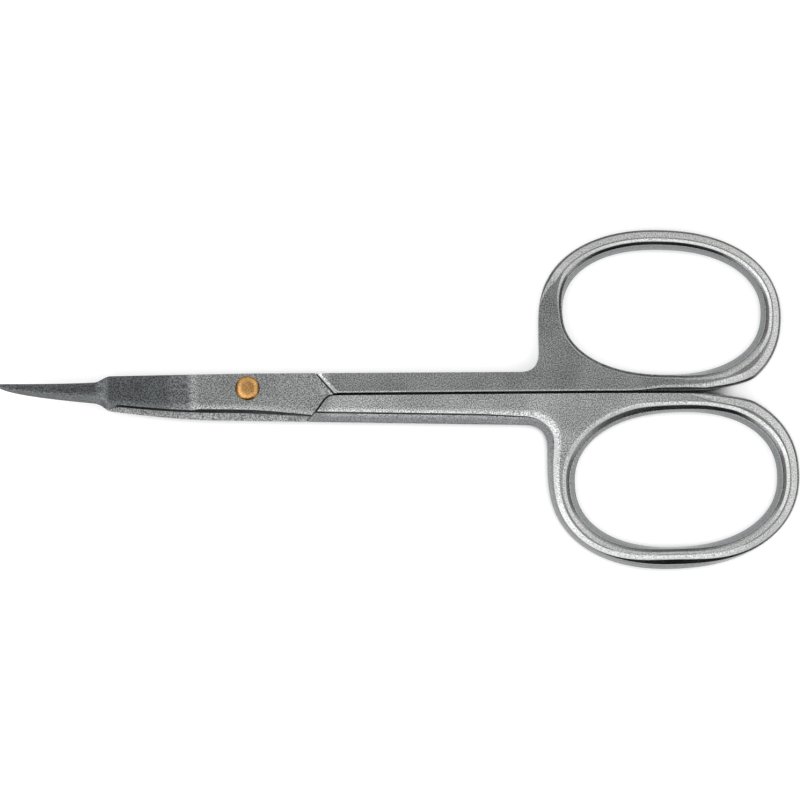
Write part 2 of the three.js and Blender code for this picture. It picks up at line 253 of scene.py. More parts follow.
# Patches of the studio's light: a direction, and how nearly along it they start and are full, as cosines
Patch = namedtuple("Patch", "direction start full")
OVERHEAD = Patch((0, 0, 1), 0.95, 0.998)
HORIZON = Patch((0, 0, 1), 0.12, 0.5)
KEY = Patch((-0.16, -0.43, 0.86), 0.87, 0.96)
LEFT = Patch((-0.52, -0.05, 0.85), 0.88, 0.97)
RIGHT = Patch((0.75, 0.1, 0.65), 0.7, 0.97)
NEAR_SHADE = Patch((0.1, -0.96, 0.26), 0.78, 0.92)
LEFT_SHADE = Patch((-0.93, 0.05, 0.36), 0.8, 0.95)
RIGHT_SHADE = Patch((0.95, 0.0, 0.3), 0.85, 0.95)
HORIZON_LEVEL = 0.15
SHADE_LEVELS = {NEAR_SHADE: 0.02, LEFT_SHADE: 0.35, RIGHT_SHADE: 0.3}

# Floor and camera. The floor and the clipping are in metres, and the rest is in millimetres.
FLOOR_HALF = 3.0
# FLOOR_SHADE is how far the floor's painted shadow reaches from the metal, in millimetres.
FLOOR_SHADE = 1.2
FLOOR_SHADE_LIMITS = (0.32, 0.6)
FLOOR_SHADE_SAMPLES = 8
SENSOR_WIDTH = 36.0
VIEW_MIDDLE = (0.073, -0.052)
CLIP_START = 0.01
CLIP_END = 10.0


def clamp01(value):
    return min(1.0, max(0.0, value))


def ease(value):
    value = clamp01(value)
    return value * value * (3 - 2 * value)


def mix(a, b, share):
    return a + (b - a) * share


def plan(x, y):
    return Vector((x, y))


# Plan outline of the closed blades and joint plates


def along_tip(x):
    return clamp01((x + TIP_REACH) / (TIP_REACH - TOWER_REACH))


def along_tower(x):
    return clamp01((x + TOWER_REACH) / TOWER_RUN + 0.5)


def along_blade(x):
    return clamp01((-GRIND_REACH - x) / (TOWER_REACH - GRIND_REACH))


def upper_edge(x):
    tip = TIP_TOP + (TIP_ROOT_TOP - TIP_TOP) * along_tip(x) ** 3
    plate = PLATE_TOP + (BLADE_TOP_TAPER if x < 0 else SHANK_TOP_TAPER) * x
    return mix(tip, plate, ease(along_tower(x)))


def lower_edge(x):
    tip = TIP_HOOK - (TIP_HOOK + TIP_ROOT_BOTTOM) * math.sqrt(along_tip(x))
    belly = max(0.0, (-BELLY_REACH - x) / (TOWER_REACH - BELLY_REACH))
    plate = -PLATE_BOTTOM - PLATE_BOTTOM_TAPER * x + BELLY_RISE * belly**BELLY_EASE
    return mix(tip, plate, ease(along_tower(x)))


def tuck(half, x):
    return HIDDEN_TUCK * (1 - ease(along_tower(x))) * along_tip(x) if half is BACK else 0.0


def spine_edge(half, x):
    return (upper_edge(x) if half is FRONT else -lower_edge(x)) - tuck(half, x)


def cutting_edge(half, x):
    return (lower_edge(x) if half is FRONT else -upper_edge(x)) + tuck(half, x)


def blade_thickness(x):
    tip = mix(TIP_THICKNESS, TIP_ROOT_THICKNESS, along_tip(x))
    blade = mix(PLATE_THICKNESS, TOWER_THICKNESS, along_blade(x))
    return mix(tip, blade, ease(along_tower(x)))


def bevel_width(half, x):
    tip = TIP_BEVEL_SHARE * (upper_edge(x) - lower_edge(x))
    blade = mix(EDGE_BEVEL, TOWER_BEVEL, along_blade(x) ** 2)
    plate = mix(blade, half.shank_bevel, ease(x / SHOULDER_REACH))
    return mix(tip, plate, ease(along_tower(x)))


def sweep(half, x, y):
    run = max(0.0, math.hypot(x, y) - SWEEP_REACH) / (TIP_REACH - SWEEP_REACH)
    return half.side * SWEEP_RISE * run**2


def seam(half, x):
    run = clamp01((x - SHOULDER_REACH) / (SEAM_BEND - SHOULDER_REACH))
    return half.side * (SEAM_RISE * run - SEAM_OFFSET)


def seam_edge(half, x, gap):
    return seam(half, x) - gap / 2


def overhang(half, x):
    narrowing = OVERHANG_TAPER * max(0.0, x) + OVERHANG_LEAN * max(0.0, -OVERHANG_LEAN_REACH - x)
    return half.set_back * (OVERHANG - narrowing) * ease((x + OVERHANG_REACH) / OVERHANG_RUN)


# Edge forms. From the side of the metal inwards, a steep strip climbs from its foot to a sloping facet, and
# a low crown runs from the facet to the top. foot is a depth below the top, slope and crest are rises over
# runs, and roll is 2 for a crown that eases into a flat face and nearer to 1 for one that ends in a ridge.

Form = namedtuple("Form", "strip foot facet slope crown crest roll soft")


def blend_forms(a, b, share):
    return Form(*(mix(p, q, share) for p, q in zip(a, b)))


def soft_corner(before, corner, after, soft):
    """Points that round a corner between two neighbours, no further than nearly halfway to either of them."""
    start = corner.lerp(before, min(CORNER_REACH, soft / (before - corner).length))
    end = corner.lerp(after, min(CORNER_REACH, soft / (after - corner).length))
    steps = [i / (CORNER_POINTS - 1) for i in range(CORNER_POINTS)]
    return [start * (1 - t) ** 2 + corner * (2 * t * (1 - t)) + end * t**2 for t in steps]


def edge_profile(form):
    """Points of one edge as (distance inside the outline, depth below the face), from the foot inwards."""
    fall = form.crown * form.crest / form.roll
    low = fall + form.facet * form.slope

    def crown_at(t):
        return Vector((form.strip + form.facet + form.crown * t, fall * (1 - t) ** form.roll))

    foot = Vector((0.0, max(form.foot, low + form.strip)))
    below, above = Vector((form.strip, low)), crown_at(0.0)
    points = [foot] + soft_corner(foot, below, above, form.soft)
    points += soft_corner(below, above, crown_at(CROWN_AHEAD), form.soft)
    start = (points[-1].x - above.x) / form.crown
    return points + [crown_at(mix(start, 1, i / CROWN_POINTS)) for i in range(1, CROWN_POINTS + 1)]


# Meshes


def mesh_object(name, vertices, faces):
    mesh = bpy.data.meshes.new(name)
    mesh.from_pydata([Vector(v) * MM for v in vertices], [], faces)
    work = bmesh.new()
    work.from_mesh(mesh)
    bmesh.ops.recalc_face_normals(work, faces=work.faces)
    work.to_mesh(mesh)
    work.free()
    piece = bpy.data.objects.new(name, mesh)
    bpy.context.scene.collection.objects.link(piece)
    return piece


def combine(piece, tool, operation):
    """Joins the tool to the piece, or cuts it away, and removes the tool."""
    step = piece.modifiers.new(operation.title(), "BOOLEAN")
    step.operation = operation
    step.solver = "MANIFOLD"
    step.object = tool
    done = bpy.data.meshes.new_from_object(piece.evaluated_get(bpy.context.evaluated_depsgraph_get()))
    piece.modifiers.clear()
    used = piece.data
    piece.data = done
    done.name = piece.name
    bpy.data.meshes.remove(used)
    spent = tool.data
    bpy.data.objects.remove(tool)
    bpy.data.meshes.remove(spent)


def wall_faces(loops, count, first=0):
    """Four-sided faces between loops of points that follow each other."""
    faces = []
    for start in range(first, first + (loops - 1) * count, count):
        for i in range(count):
            a, b = start + i, start + (i + 1) % count
            faces.append((a, b, b + count, a + count))
    return faces


def prism(name, outline, low, high):
    """A closed block from a flat outline of (x, y) points."""
    count = len(outline)
    vertices = [(x, y, z) for z in (low, high) for x, y in outline]
    faces = wall_faces(2, count)
    faces += [tuple(range(count))[::-1], tuple(range(count, 2 * count))]
    return mesh_object(name, vertices, faces)


def lathe(name, profile, steps):
    """A turned solid from (radius, height) points, both ends on the axis."""
    rim = profile[1:-1]
    vertices = [(0, 0, profile[0][1])]
    for radius, height in rim:
        for i in range(steps):
            turn = 2 * math.pi * i / steps
            vertices.append((radius * math.cos(turn), radius * math.sin(turn), height))
    vertices.append((0, 0, profile[-1][1]))
    faces = wall_faces(len(rim), steps, 1)
    last = 1 + (len(rim) - 1) * steps
    for i in range(steps):
        after = (i + 1) % steps
        faces.append((0, 1 + after, 1 + i))
        faces.append((len(vertices) - 1, last + i, last + after))
    return mesh_object(name, vertices, faces)


# Blade and joint plate of one half, as sections across it


def plate_stations():
    tower_start, tower_end = -TOWER_REACH - TOWER_RUN / 2, -TOWER_REACH + TOWER_RUN / 2
    plate_end = SHOULDER_REACH + PLATE_BOTTOM
    stations = [mix(-TIP_REACH, tower_start, (i / TIP_STATIONS) ** 2) for i in range(TIP_STATIONS)]
    stations += [mix(tower_start, tower_end, i / TOWER_STATIONS) for i in range(TOWER_STATIONS)]
    stations += [mix(tower_end, -BELLY_REACH, i / BLADE_STATIONS) for i in range(BLADE_STATIONS)]
    return stations + [mix(-BELLY_REACH, plate_end, i / PLATE_STATIONS) for i in range(PLATE_STATIONS + 1)]


def plate_section(half, edges, x):
    """One section as (y, height above the meeting face) points, from the cutting edge to the spine."""
    spine, outline = spine_edge(half, x), cutting_edge(half, x)
    edge = outline + overhang(half, x)
    width, thickness = spine - edge, blade_thickness(x)
    ground = ease((-GRIND_REACH - x) / edges.grind_run + 0.5)
    top = thickness - edges.grind_dip * ground * clamp01(width / EDGE_BEVEL / 2)

    # A shallow facet along the tip's edge, then a narrow steep chamfer that runs out at the joint
    facet = max(outline + bevel_width(half, x) - edge, PLATE_FACET_LEAST * width)
    chamfer = edges.chamfer_width * mix(edges.chamfer_start, 1, 1 - ground)
    chamfer *= mix(1, edges.chamfer_end, ease((x - edges.chamfer_fade) / SHOULDER_REACH))
    past_tower = ease((x + CHAMFER_REACH) / CHAMFER_RUN)
    facet = mix(facet, chamfer, past_tower)
    slope = mix(math.tan(edges.facet_tilt), math.tan(edges.chamfer_tilt), past_tower)
    crown = min(edges.plate_crown, PLATE_CROWN_MOST * (width - facet))
    soft = min(edges.plate_softness, PLATE_SOFT_MOST * facet)
    form = Form(EDGE_LIP, 0.0, facet, slope, crown, math.tan(edges.plate_tilt), FLAT_ROLL, soft)
    foot = edge + OVERHANG_BEVEL * past_tower
    points = [(edge, 0.0)] + [(foot + p.x, top - p.y) for p in edge_profile(form)]
    fine = min(edges.edge_rounding, SPINE_WIDTH_MOST * width, SPINE_THICKNESS_MOST * thickness)
    for turn in SPINE_TURNS:
        points.append((spine - fine + fine * math.sin(turn), top - fine + fine * math.cos(turn)))
    return points + [(spine, 0.0)]


def plate_solid(half, other, edges):
    stations = plate_stations()
    vertices = []
    for x in stations:
        section = plate_section(half, edges, x)
        vertices += [(x, y, MEETING_FACE + h + sweep(half, x, y)) for y, h in section]
    count = len(section)
    faces = wall_faces(len(stations), count)
    faces += [tuple(range(count)), tuple(range(len(vertices) - count, len(vertices)))]
    piece = mesh_object("plate", vertices, faces)
    corner = Vector((SHOULDER_REACH, seam(half, SHOULDER_REACH), 0)) * MM
    own = Vector((math.cos(half.shoulder_lean), math.sin(half.shoulder_lean), 0))
    lap = Vector((math.cos(other.shoulder_lean), -math.sin(other.shoulder_lean), 0))
    work = bmesh.new()
    work.from_mesh(piece.data)
    for facing in (own, lap):
        cut = bmesh.ops.bisect_plane(
            work, geom=work.verts[:] + work.edges[:] + work.faces[:], dist=CUT_DISTANCE,
            plane_co=corner, plane_no=facing, clear_outer=True,
        )
        rim = [e for e in cut["geom_cut"] if isinstance(e, bmesh.types.BMEdge)]
        bmesh.ops.contextual_create(work, geom=rim)
    bmesh.ops.recalc_face_normals(work, faces=work.faces)
    work.to_mesh(piece.data)
    work.free()
    return piece


# Shank and finger ring of one half


def hole_middle(half):
    reach = half.neck_reach + half.neck_width + half.hole_length / 2
    return plan(reach, seam_edge(half, reach, SEAM_GAP) - half.seam_band - half.hole_height / 2)


def oval_point(middle, half_length, half_height, tilt, angle):
    power = 2 / OVAL_SQUARENESS
    across, up = math.cos(angle), math.sin(angle)
    x = half_length * math.copysign(abs(across) ** power, across)
    y = half_height * math.copysign(abs(up) ** power, up)
    return middle + plan(x * math.cos(tilt) - y * math.sin(tilt), x * math.sin(tilt) + y * math.cos(tilt))


def hole_point(half, angle):
    return oval_point(hole_middle(half), half.hole_length / 2, half.hole_height / 2, half.hole_tilt, angle)


def ring_point(half, angle):
    middle = hole_middle(half) + plan((half.band - half.band_neck) / 2, (half.band_seam - half.band) / 2)
    half_length = (half.hole_length + half.band + half.band_neck) / 2
    half_height = (half.hole_height + half.band + half.band_seam) / 2
    return oval_point(middle, half_length, half_height, half.band_tilt, angle)


def notch_angle(half):
    """The angle at which the ring's outline turns off towards the notch between the rings."""
    below, above = 0.0, math.pi / 2
    for _ in range(HALVINGS):
        middle = (below + above) / 2
        point = ring_point(half, middle)
        if point.y < seam_edge(half, point.x, SEAM_SHOWN) - half.notch_drop:
            below = middle
        else:
            above = middle
    return below


def line(a, b, steps):
    return [a.lerp(b, i / steps) for i in range(steps)]


def bow(a, pull, b, steps):
    return [a * (1 - t) ** 2 + pull * (2 * t * (1 - t)) + b * t**2 for t in (i / steps for i in range(steps))]


def curve(a, pull_a, pull_b, b, steps):
    points = []
    for i in range(steps):
        t = i / steps
        near, far = (1 - t) ** 3, t**3
        points.append(a * near + pull_a * (3 * t * (1 - t) ** 2) + pull_b * (3 * t**2 * (1 - t)) + b * far)
    return points


def step_line(half, other):
    """Plan points of the line where the plate's face steps down to the shank, from the seam past the edge."""
    corner = plan(SHOULDER_REACH, seam(half, SHOULDER_REACH))
    if half is FRONT:
        pull, end = plan(*STEP_PULL_EDGE), plan(*STEP_END)
        past = end + (end - pull).normalized() * STEP_PAST
        bend = curve(corner, plan(*STEP_PULL_SEAM), pull, end, STEP_STEPS)
        return bend + line(end, past, STEP_STEPS) + [past]
    lean = other.shoulder_lean
    past = corner - plan(math.sin(lean), math.cos(lean)) * (PLATE_BOTTOM / math.cos(lean) + STEP_PAST)
    return line(corner, past, STEP_STEPS) + [past]


def beside(points, offset):
    """The same line moved sideways, towards the shank when the offset is above zero."""
    moved = []
    for i, point in enumerate(points):
        ahead = (points[min(i + 1, len(points) - 1)] - points[max(i - 1, 0)]).normalized()
        moved.append(point + plan(-ahead.y, ahead.x) * offset)
    return moved


def past_step(name, half, other, offset, low):
    """A tall block over all that lies on the shank's side of the step."""
    points = beside(step_line(half, other), offset)
    return prism(name, points + [plan(FAR, points[-1].y), plan(FAR, points[0].y)], low, FAR)


def shank_outline(half, other, edges):
    """Plan points of the shank and ring from the hidden root around to the seam, each with its run's name."""

    def edge(x, tucked=0.0):
        return plan(x, cutting_edge(half, x) + tucked)

    lap_x = max(point.x for point in step_line(half, other) if point.y < cutting_edge(half, point.x))
    root_x = lap_x - edges.root_length
    fillet_start, neck_corner = edge(half.neck_reach - half.neck_fillet), edge(half.neck_reach)
    neck_top = plan(half.neck_reach, neck_corner.y - half.neck_fillet)
    ring_end = 2 * math.pi + notch_angle(half)
    neck_end = ring_point(half, NECK_LEAVE_ANGLE)
    tangent = (ring_point(half, NECK_LEAVE_ANGLE + TINY_TURN) - neck_end).normalized()
    pull = NECK_PULL_SHARE * (neck_top.y - neck_end.y)
    neck_start = plan(half.neck_reach, neck_top.y - pull)
    neck = curve(neck_top, neck_start, neck_end - tangent * pull, neck_end, NECK_STEPS)
    ring_leave = ring_point(half, ring_end)
    ring_heading = ring_leave - ring_point(half, ring_end - TINY_TURN)
    seam_meet = plan(NOTCH_REACH, seam_edge(half, NOTCH_REACH, SEAM_SHOWN))
    notch_pull = ring_leave + ring_heading * (NOTCH_PULL * (seam_meet.y - ring_leave.y) / ring_heading.y)
    seam_turn = plan(SEAM_BEND, seam_edge(half, SEAM_BEND, SEAM_SHOWN))
    seam_end = plan(SHOULDER_REACH, seam_edge(half, SHOULDER_REACH, SEAM_SHOWN))
    hidden = edge(lap_x - edges.root_tuck, edges.root_tuck)
    ring = [ring_point(half, mix(NECK_LEAVE_ANGLE, ring_end, i / OVAL_STEPS)) for i in range(OVAL_STEPS)]
    runs = [
        ("edge", [edge(root_x, edges.root_tuck), hidden]),
        ("edge", line(edge(lap_x + edges.root_tuck / 4), fillet_start, LINE_STEPS)),
        ("fillet", bow(fillet_start, neck_corner, neck_top, FILLET_STEPS)),
        ("neck", neck),
        ("ring", ring),
        ("ring", bow(ring_leave, notch_pull, seam_meet, FILLET_STEPS)),
        ("ring seam", line(seam_meet, seam_turn, SEAM_STEPS)),
        ("seam", line(seam_turn, seam_end, LINE_STEPS)),
        ("seam", [seam_end, plan(root_x, seam_end.y)]),
    ]
    return [(point, run) for run, points in runs for point in points]


def inward_directions(points, runs, reach, closed):
    """Directions into the metal on the left of an outline, longer at corners so that offsets stay even."""
    inward = []
    for i, point in enumerate(points):
        before = (point - points[i - 1]).normalized()
        after = (points[(i + 1) % len(points)] - point).normalized()
        if not closed:
            before = after if i == 0 else before
            after = before if i == len(points) - 1 else after
        bisector = (plan(-before.y, before.x) + plan(-after.y, after.x)).normalized()
        inward.append(bisector / max(MITRE_LEAST, bisector.dot(plan(-after.y, after.x))))
    count = len(points)
    smoothed = list(inward)
    for i in range(count):
        near = [(i + k) % count for k in range(-reach, reach + 1)]
        if all(runs[k] in ("ring", "ring seam") for k in near):
            smoothed[i] = sum((inward[k] for k in near), plan(0, 0)) / len(near)
    return smoothed


def nearest(point, others):
    return min((point - other).length for other in others)


def smooth_forms(forms, reach, closed):
    """Forms averaged with their neighbours along an outline, so that one form passes softly into the next."""
    count = len(forms)
    smoothed = []
    for i in range(count):
        around = range(i - reach, i + reach + 1)
        near = [forms[k % count] for k in around if closed or 0 <= k < count]
        smoothed.append(Form(*(sum(values) / len(near) for values in zip(*near))))
    return smoothed


def fit_form(form, room):
    """The form narrowed so that it stays on its own part of the metal."""
    fit = min(1.0, room / (form.strip + form.facet + form.crown))
    return form._replace(strip=form.strip * fit, facet=form.facet * fit, crown=form.crown * fit)


def shank_forms(half, edges):
    """Edge forms by run, on the outer side and on the inner side of a half."""
    outer_face = PLATE_FACE - half.step
    middle = MIDDLE_SHARE * (outer_face - half.inner_face)
    band, fine = half.band, edges.edge_rounding
    slope, crest = math.tan(edges.black_tilt), math.tan(edges.crest_tilt)

    def crested(strip, foot, facet, crown, rise=crest, roll=FLAT_ROLL):
        soft = min(edges.ridge_softness, RIDGE_SOFT_MOST * facet)
        return Form(strip, foot, facet, slope, crown, rise, roll, soft)

    def rolled(strip, foot, facet, crown):
        return crested(strip, foot, facet, crown, roll=edges.ring_roll)

    strip, facet = SHARP_STRIP * fine, SHARP_FACET * fine
    sharp = Form(strip, fine, facet, 1.0, facet, crest, FLAT_ROLL, strip)
    shank_crest = math.tan(edges.shank_tilt)
    shank_strip = edges.edge_strip * half.shank_bevel
    edge = crested(shank_strip, edges.edge_depth, edges.edge_facet, edges.crown_width, shank_crest)
    fillet = crested(edges.neck_strip, edges.edge_depth, edges.neck_facet, edges.neck_crown)
    neck = fillet._replace(roll=edges.ring_roll)
    ring = rolled(edges.ring_strip * band, middle, edges.neck_facet, edges.ring_crown * band)
    near_ring = ring._replace(
        strip=edges.near_ring_strip * band, facet=edges.ring_facet, crown=edges.near_ring_crown * band,
        soft=edges.ridge_softness,
    )
    ring_end = ring._replace(
        strip=edges.ring_strip_end * band, facet=edges.ring_rim, slope=math.tan(edges.rim_tilt),
    )
    hole = rolled(edges.hole_strip * band, middle, edges.hole_facet, edges.hole_crown * band)
    near_hole = hole._replace(strip=fine, facet=edges.hole_bevel, slope=BEVEL_SLOPE, crown=hole.crown / 2)
    web = rolled(edges.web_strip, middle, edges.web_facet, edges.web_crown)
    plain_web = crested(fine / 2, middle, edges.web_bevel, edges.web_bevel / 2)._replace(slope=BEVEL_SLOPE)
    thin_crest = crested(THIN_FACET * fine, fine, THIN_FACET * fine, edges.seam_crown)
    sloped = crested(fine / 2, fine, edges.seam_facet, edges.web_crown)
    worked = {
        "edge": edge, "fillet": fillet, "neck": neck, "ring": ring, "near ring": near_ring,
        "ring end": ring_end, "seam": sharp, "ring seam": sharp, "hole": hole, "near hole": near_hole,
        "web": web,
    }
    plain = {
        "edge": sharp, "fillet": sharp, "neck": sharp, "ring": ring_end, "near ring": ring_end,
        "ring end": ring_end, "seam": thin_crest, "ring seam": sloped, "hole": hole, "near hole": hole,
        "web": plain_web,
    }
    return worked, plain


def turn_about_hole(half, point):
    spoke = point - hole_middle(half)
    return math.degrees(math.atan2(spoke.y, spoke.x)) % 360


def nearness(turn):
    """1 at the side of the ring that is furthest from the seam, fading to 0 on both sides of it."""
    return 1 - ease(abs(turn - NEAR_TURN) / NEAR_TURN_RUN)


def form_at(half, forms, run, point):
    """The edge form at a point of a run. Some runs pass slowly from one form into another."""
    turn = turn_about_hole(half, point)
    if run == "ring seam":
        past_start = ease((point.x - RING_SEAM_START) / RING_SEAM_RUN)
        return blend_forms(forms["seam"], forms["ring seam"], past_start)
    if run == "ring":
        far = 1.0 if turn < 180 else ease((turn - RING_TURN_START) / RING_TURN_RUN)
        ring = blend_forms(forms["ring"], forms["ring end"], far)
        return blend_forms(ring, forms["near ring"], nearness(turn))
    if run == "hole":
        return blend_forms(forms["hole"], forms["near hole"], nearness(turn))
    return forms[run]


def hole_run(half, angle):
    """The run of the hole's edge at an angle: web beside the neck and the shank, hole around the rest."""
    return "web" if WEB_START < angle % (2 * math.pi) < half.web_end else "hole"


def shank_contours(half, other, edges):
    """The outline and the hole of a half, each as points, directions inwards, and low and high profiles."""
    named = shank_outline(half, other, edges)
    rim, rim_runs = [point for point, run in named], [run for point, run in named]
    angles = [2 * math.pi * i / HOLE_STEPS for i in range(HOLE_STEPS)]
    opening = [hole_point(half, -angle) for angle in angles]
    hole_runs = [hole_run(half, -angle) for angle in angles]
    outer, inner = shank_forms(half, edges)
    contours = []
    for points, runs, others, room_share, near_share, closed in (
        (rim, rim_runs, opening, edges.rim_room, edges.rim_room_near, False),
        (opening, hole_runs, rim, edges.hole_room, edges.hole_room_near, True),
    ):
        near = [nearness(turn_about_hole(half, point)) if half is FRONT else 0.0 for point in points]
        rooms = [mix(room_share, near_share, n) * nearest(point, others) for n, point in zip(near, points)]
        sides = []
        for forms in (inner, outer):
            chosen = [form_at(half, forms, run, point) for run, point in zip(runs, points)]
            chosen = smooth_forms(chosen, edges.blend_steps, closed)
            sides.append([edge_profile(fit_form(form, room)) for form, room in zip(chosen, rooms)])
        contours.append((points, inward_directions(points, runs, 2 * edges.blend_steps, closed), sides))
    return contours


def shank_solid(half, other, edges):
    """The shank and ring: walls along both contours, closed by flat faces between them."""
    vertices, faces, flat_loops = [], [], {"low": [], "high": []}
    for points, inward, (low, high) in shank_contours(half, other, edges):
        first, count, levels = len(vertices), len(points), len(low[0])
        rows = [(low, level, half.inner_face, 1) for level in reversed(range(levels))]
        rows += [(high, level, PLATE_FACE - half.step, -1) for level in range(levels)]
        for profiles, level, face, up in rows:
            for point, direction, profile in zip(points, inward, profiles):
                inset, depth = profile[level]
                place = point + direction * inset
                vertices.append((place.x, place.y, face + up * depth))
        faces += wall_faces(len(rows), count, first)
        flat_loops["low"].append(range(first, first + count))
        flat_loops["high"].append(range(len(vertices) - count, len(vertices)))
    for loops in flat_loops.values():
        indices = [i for loop in loops for i in loop]
        flat = [[Vector(vertices[i]) for i in loop] for loop in loops]
        faces += [tuple(indices[k] for k in triangle) for triangle in tessellate_polygon(flat)]
    piece = mesh_object("shank", vertices, faces)
    combine(piece, lap_cutter(half, other, edges), "DIFFERENCE")
    combine(piece, overhang_cutter(half, other, edges), "DIFFERENCE")
    return piece


def lap_cutter(half, other, edges):
    """Room for the other half's joint plate, up to a shoulder with an eased edge on this half's shank."""
    tuck_in, eased = edges.root_tuck, SHOULDER_GAP + edges.shoulder_ease
    cutter = prism("lap", [
        (-FAR, -FAR), (eased, -FAR), (eased, half.inner_face),
        (SHOULDER_GAP, half.inner_face + edges.shoulder_fall), (SHOULDER_GAP, MEETING_FACE),
        (-tuck_in, MEETING_FACE + LAP_RISE * tuck_in), (-2 * tuck_in, EDGE_LAND + tuck_in),
        (-FAR, EDGE_LAND + tuck_in),
    ], -FAR, FAR)
    place = Matrix.Translation(Vector((SHOULDER_REACH, seam(half, SHOULDER_REACH), 0)) * MM)
    lean = Matrix.Rotation(-other.shoulder_lean, 4, "Z")
    cutter.matrix_world = place @ lean @ Matrix.Rotation(math.pi / 2, 4, "X")
    return cutter


def depth_at(profile, inset):
    """How deep an edge's profile lies at a distance inside the outline."""
    for a, b in zip(profile, profile[1:]):
        if inset <= b.x:
            return mix(a.y, b.y, clamp01((inset - a.x) / (b.x - a.x)))
    return 0.0


def groove_cutter(half, other, edges):
    """The fine groove at the foot of the step from the joint plate down to the shank and its edge."""
    face, tuck_in = PLATE_FACE - half.step, edges.root_tuck / 4
    section = [
        (-tuck_in, face - edges.groove_depth), (tuck_in, face - edges.groove_depth),
        (edges.groove_width, face + tuck_in), (edges.groove_width, FAR), (-tuck_in, FAR),
    ]
    points = step_line(half, other)
    rails = [beside(points, offset) for offset, height in section]
    worn = edge_profile(shank_forms(half, edges)[0]["edge"])
    drops = [depth_at(worn, point.y - cutting_edge(half, point.x)) for point in points]
    vertices = []
    for i, drop in enumerate(drops):
        vertices += [(*rail[i], height - drop) for rail, (offset, height) in zip(rails, section)]
    count = len(section)
    faces = wall_faces(len(points), count)
    faces += [tuple(range(count)), tuple(range(len(vertices) - count, len(vertices)))]
    return mesh_object("groove", vertices, faces)


def overhang_cutter(half, other, edges):
    """Takes the shank's root back inside the joint plate, along the plate's cutting edge."""
    inside = OVERHANG_BEVEL + edges.chamfer_width + edges.root_tuck
    outline = [(SHOULDER_REACH, -FAR), (-OVERHANG_REACH, -FAR)]
    for i in range(OVERHANG_STATIONS + 1):
        x = mix(-OVERHANG_REACH, SHOULDER_REACH, i / OVERHANG_STATIONS)
        outline.append((x, cutting_edge(half, x) + overhang(half, x) + inside))
    outline.reverse()
    cutter = prism("overhang", outline, -FAR, FAR)
    combine(cutter, past_step("past", half, other, edges.root_tuck / 3, -FAR), "DIFFERENCE")
    return cutter


def shaft_profile(clearance, tail_end, head_end):
    """The rivet from its tail to its head as (radius, height), or its bore where there is a clearance."""
    tail, shaft = RIVET_TAIL / 2 + clearance, RIVET_SHAFT / 2 + clearance
    cone_end = -PLATE_FACE + RIVET_TAIL_RECESS + (RIVET_TAIL - RIVET_SHAFT) / 2
    cone_start = cone_end - (tail - shaft)
    return [(0, tail_end), (tail, tail_end), (tail, cone_start), (shaft, cone_end), (shaft, head_end)]


def finish_mesh(piece, material, angle):
    """Smooth shading with crisp edges where the metal turns sharply, and even shading on the flat faces."""
    mesh = piece.data
    mesh.materials.clear()
    mesh.materials.append(material)
    work = bmesh.new()
    work.from_mesh(mesh)
    bmesh.ops.remove_doubles(work, verts=work.verts, dist=WELD_DISTANCE * MM)
    bmesh.ops.dissolve_degenerate(work, edges=work.edges, dist=WELD_DISTANCE * MM)
    for face in work.faces:
        face.smooth = True
    for edge in work.edges:
        edge.smooth = len(edge.link_faces) == 2 and edge.calc_face_angle() < angle
    strength = work.faces.layers.int.new("__mod_weightednormals_faceweight")
    for face in work.faces:
        face[strength] = FACE_STRONG if abs(face.normal.z) > FLAT_LIMIT else 0
    work.to_mesh(mesh)
    work.free()
    even = piece.modifiers.new("Even shading", "WEIGHTED_NORMAL")
    even.mode = "CORNER_ANGLE"
    even.keep_sharp = True
    even.use_face_influence = True


def half_piece(name, half, other, edges, material):
    piece = plate_solid(half, other, edges)
    piece.name = name
    if half is FRONT:
        combine(piece, past_step("step", half, other, 0.0, MEETING_FACE + STEP_FOOT), "DIFFERENCE")
    combine(piece, shank_solid(half, other, edges), "UNION")
    combine(piece, groove_cutter(half, other, edges), "DIFFERENCE")
    bore = lathe("bore", shaft_profile(RIVET_CLEARANCE, -FAR, FAR) + [(0, FAR)], RIVET_STEPS)
    if half is BACK:
        bore.rotation_euler.x = math.pi
    combine(piece, bore, "DIFFERENCE")
    piece.matrix_world = Matrix.Translation(PIVOT)
    if half is BACK:
        piece.matrix_world = Matrix.Translation(PIVOT) @ Matrix.Rotation(math.pi, 4, "X")
    finish_mesh(piece, material, edges.sharp_angle)
    return piece


def rivet_piece(name, material, angle):
    seat = PLATE_FACE + RIVET_CLEARANCE
    profile = shaft_profile(0, -PLATE_FACE + RIVET_TAIL_RECESS, seat)
    radius = RIVET_HEAD / 2
    profile.append((radius, seat))
    for i in range(DOME_STEPS):
        out = (1 - i / DOME_STEPS) ** 0.5
        profile.append((radius * out, seat + RIVET_RIM + RIVET_DOME * (1 - out**RIVET_ROLL)))
    profile.append((0, seat + RIVET_RIM + RIVET_DOME))
    piece = lathe(name, profile, RIVET_STEPS)
    piece.matrix_world = Matrix.Translation(PIVOT)
    finish_mesh(piece, material, angle)
    return piece


# Materials


def add_socket(group, name, direction):
    group.interface.new_socket(name=name, in_out=direction, socket_type="NodeSocketFloat")


def node(tree, kind, **values):
    made = tree.nodes.new(kind)
    for key, value in values.items():
        setattr(made, key, value)
    return made


